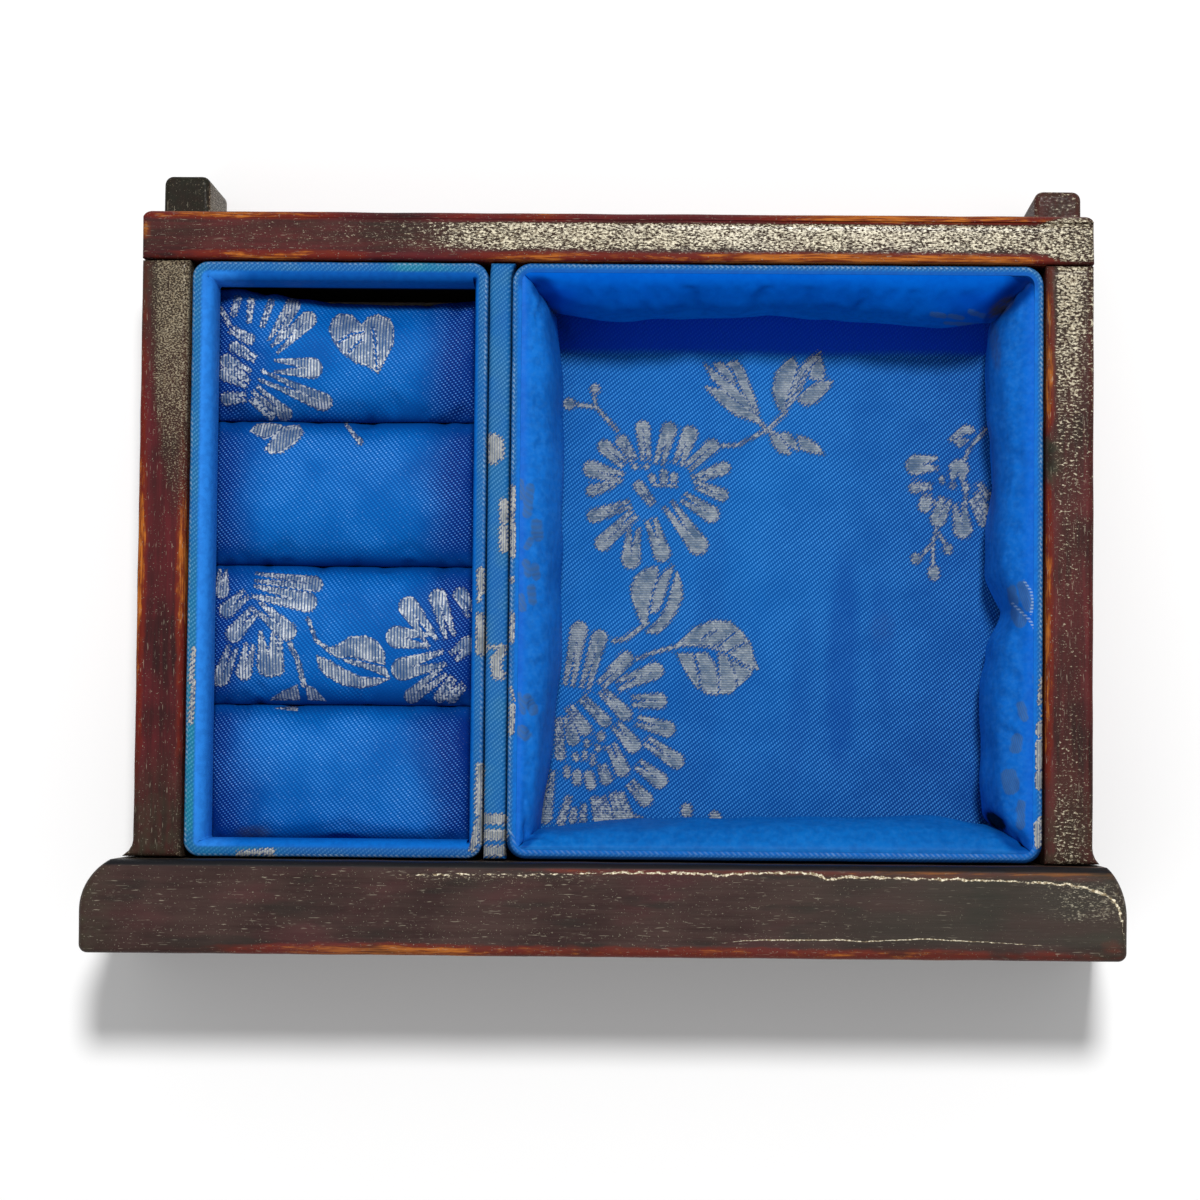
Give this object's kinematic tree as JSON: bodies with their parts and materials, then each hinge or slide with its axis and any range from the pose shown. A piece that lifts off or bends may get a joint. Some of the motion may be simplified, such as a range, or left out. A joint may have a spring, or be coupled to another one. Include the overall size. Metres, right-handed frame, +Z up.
{
  "type": "jewelry chest",
  "caption": "Open lacquered wooden jewelry chest with a raised round-shouldered front board and two lift-out fabric-lined trays, one with padded ring rolls.",
  "frame": {"origin": "middle of the bottom of the whole chest's bounding box", "axes": "+X to the right along the front board as seen from the front, +Y to the back, +Z up"},
  "size_m": [0.1722, 0.134, 0.0424],
  "materials": {
    "front_lacquer": "worn dark brown-black lacquer on wood",
    "lacquer": "worn dark red-brown lacquer on wood, rubbed through at the edges",
    "bottom_lacquer": "dark red-brown lacquer on thin wood",
    "divider_brocade": "blue woven brocade over a thin board",
    "ring_tray_brocade": "blue woven brocade over card",
    "card": null,
    "roll_brocade": "blue brocade with silver-white chrysanthemums and leaves",
    "open_tray_brocade": "blue woven brocade over card",
    "floor_brocade": "blue twill brocade with silver-grey chrysanthemums and leaves",
    "lining_brocade": "smooth reverse of the blue brocade"
  },
  "bodies": {
    "case": {"front_board": "front_lacquer", "left_side_board": "lacquer", "right_side_board": "lacquer", "back_board": "lacquer", "bottom_board": "bottom_lacquer", "divider_strip": "divider_brocade"},
    "ring_tray": {"ring_tray_walls": "ring_tray_brocade", "ring_tray_base": "card", "ring_roll_1": "roll_brocade", "ring_roll_2": "roll_brocade", "ring_roll_3": "roll_brocade", "ring_roll_4": "roll_brocade"},
    "open_tray": {"open_tray_walls": "open_tray_brocade", "open_tray_base": "card", "floor_pad": "floor_brocade", "left_lining": "lining_brocade", "right_lining": "lining_brocade", "front_lining": "lining_brocade", "back_lining": "lining_brocade"}
  },
  "joints": [
    {"name": "ring_tray_lift", "type": "slide", "parent": "case", "child": "ring_tray", "axis": [0, 0, 1], "range_m": [0, 0.05]},
    {"name": "open_tray_lift", "type": "slide", "parent": "case", "child": "open_tray", "axis": [0, 0, 1], "range_m": [0, 0.05]}
  ]
}
